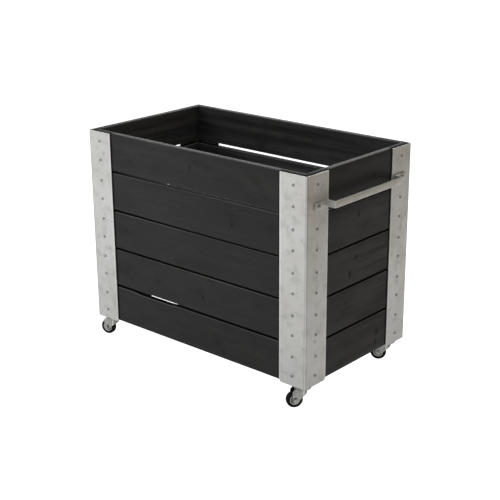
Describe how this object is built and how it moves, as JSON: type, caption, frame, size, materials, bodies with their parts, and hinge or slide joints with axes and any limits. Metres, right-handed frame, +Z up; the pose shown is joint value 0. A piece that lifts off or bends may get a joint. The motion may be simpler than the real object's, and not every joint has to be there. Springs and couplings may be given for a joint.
{
  "type": "rolling planter",
  "caption": "Open timber tub on swivel casters, held at its corners by sheet-steel posts, with a flat-bar pull handle on one end; holds soil or potted plants.",
  "frame": {"origin": "on the floor under the middle of the whole object, handle and wheels included", "axes": "+X towards the handle end, -Y towards the front long wall, +Z up"},
  "size_m": [0.9154, 0.512, 0.6988],
  "materials": {
    "stained_wood": "black stain, matt, open grain",
    "galvanised_steel": "hot-dip galvanised, dull, faint spangle",
    "zinc": "bright zinc plated",
    "hub_plastic": "moulded, satin grey",
    "tyre_rubber": "matt black"
  },
  "bodies": {
    "tub": {"plank_front_1": "stained_wood", "plank_front_2": "stained_wood", "plank_front_3": "stained_wood", "plank_front_4": "stained_wood", "plank_front_5": "stained_wood", "plank_right_1": "stained_wood", "plank_right_2": "stained_wood", "plank_right_3": "stained_wood", "plank_right_4": "stained_wood", "plank_right_5": "stained_wood", "plank_back_1": "stained_wood", "plank_back_2": "stained_wood", "plank_back_3": "stained_wood", "plank_back_4": "stained_wood", "plank_back_5": "stained_wood", "plank_left_1": "stained_wood", "plank_left_2": "stained_wood", "plank_left_3": "stained_wood", "plank_left_4": "stained_wood", "plank_left_5": "stained_wood", "ledger_front": "stained_wood", "ledger_back": "stained_wood", "floor_slat_1": "stained_wood", "floor_slat_2": "stained_wood", "floor_slat_3": "stained_wood", "floor_slat_4": "stained_wood", "floor_slat_5": "stained_wood", "floor_slat_6": "stained_wood", "floor_slat_7": "stained_wood", "post_front_left": "galvanised_steel", "post_front_right": "galvanised_steel", "post_back_right": "galvanised_steel", "post_back_left": "galvanised_steel", "handle": "galvanised_steel", "handle_screw_front": "zinc", "handle_screw_back": "zinc", "caster_plate_front_left": "zinc", "caster_plate_front_right": "zinc", "caster_plate_back_right": "zinc", "caster_plate_back_left": "zinc"},
    "fork_front_left": {"caster_fork_front_left": "zinc", "caster_axle_front_left": "zinc", "caster_nut_front_left": "zinc"},
    "fork_front_right": {"caster_fork_front_right": "zinc", "caster_axle_front_right": "zinc", "caster_nut_front_right": "zinc"},
    "fork_back_right": {"caster_fork_back_right": "zinc", "caster_axle_back_right": "zinc", "caster_nut_back_right": "zinc"},
    "fork_back_left": {"caster_fork_back_left": "zinc", "caster_axle_back_left": "zinc", "caster_nut_back_left": "zinc"},
    "wheel_front_left": {"wheel_core_front_left": "hub_plastic", "wheel_tyre_front_left": "tyre_rubber"},
    "wheel_front_right": {"wheel_core_front_right": "hub_plastic", "wheel_tyre_front_right": "tyre_rubber"},
    "wheel_back_right": {"wheel_core_back_right": "hub_plastic", "wheel_tyre_back_right": "tyre_rubber"},
    "wheel_back_left": {"wheel_core_back_left": "hub_plastic", "wheel_tyre_back_left": "tyre_rubber"}
  },
  "joints": [
    {"name": "swivel_front_left", "type": "hinge", "parent": "tub", "child": "fork_front_left", "pos_m": [-0.40782, -0.211, 0.061], "axis": [0, 0, 1], "continuous": true},
    {"name": "swivel_front_right", "type": "hinge", "parent": "tub", "child": "fork_front_right", "pos_m": [0.38918, -0.211, 0.061], "axis": [0, 0, 1], "continuous": true},
    {"name": "swivel_back_right", "type": "hinge", "parent": "tub", "child": "fork_back_right", "pos_m": [0.38918, 0.211, 0.061], "axis": [0, 0, 1], "continuous": true},
    {"name": "swivel_back_left", "type": "hinge", "parent": "tub", "child": "fork_back_left", "pos_m": [-0.40782, 0.211, 0.061], "axis": [0, 0, 1], "continuous": true},
    {"name": "roll_front_left", "type": "hinge", "parent": "fork_front_left", "child": "wheel_front_left", "pos_m": [-0.43208, -0.21705, 0.025], "axis": [0.2419, -0.9703, 0], "continuous": true},
    {"name": "roll_front_right", "type": "hinge", "parent": "fork_front_right", "child": "wheel_front_right", "pos_m": [0.3752, -0.23173, 0.025], "axis": [0.829, -0.5592, 0], "continuous": true},
    {"name": "roll_back_right", "type": "hinge", "parent": "fork_back_right", "child": "wheel_back_right", "pos_m": [0.36798, 0.19775, 0.025], "axis": [0.5299, -0.848, 0], "continuous": true},
    {"name": "roll_back_left", "type": "hinge", "parent": "fork_back_left", "child": "wheel_back_left", "pos_m": [-0.4218, 0.23173, 0.025], "axis": [-0.829, -0.5592, 0], "continuous": true}
  ]
}
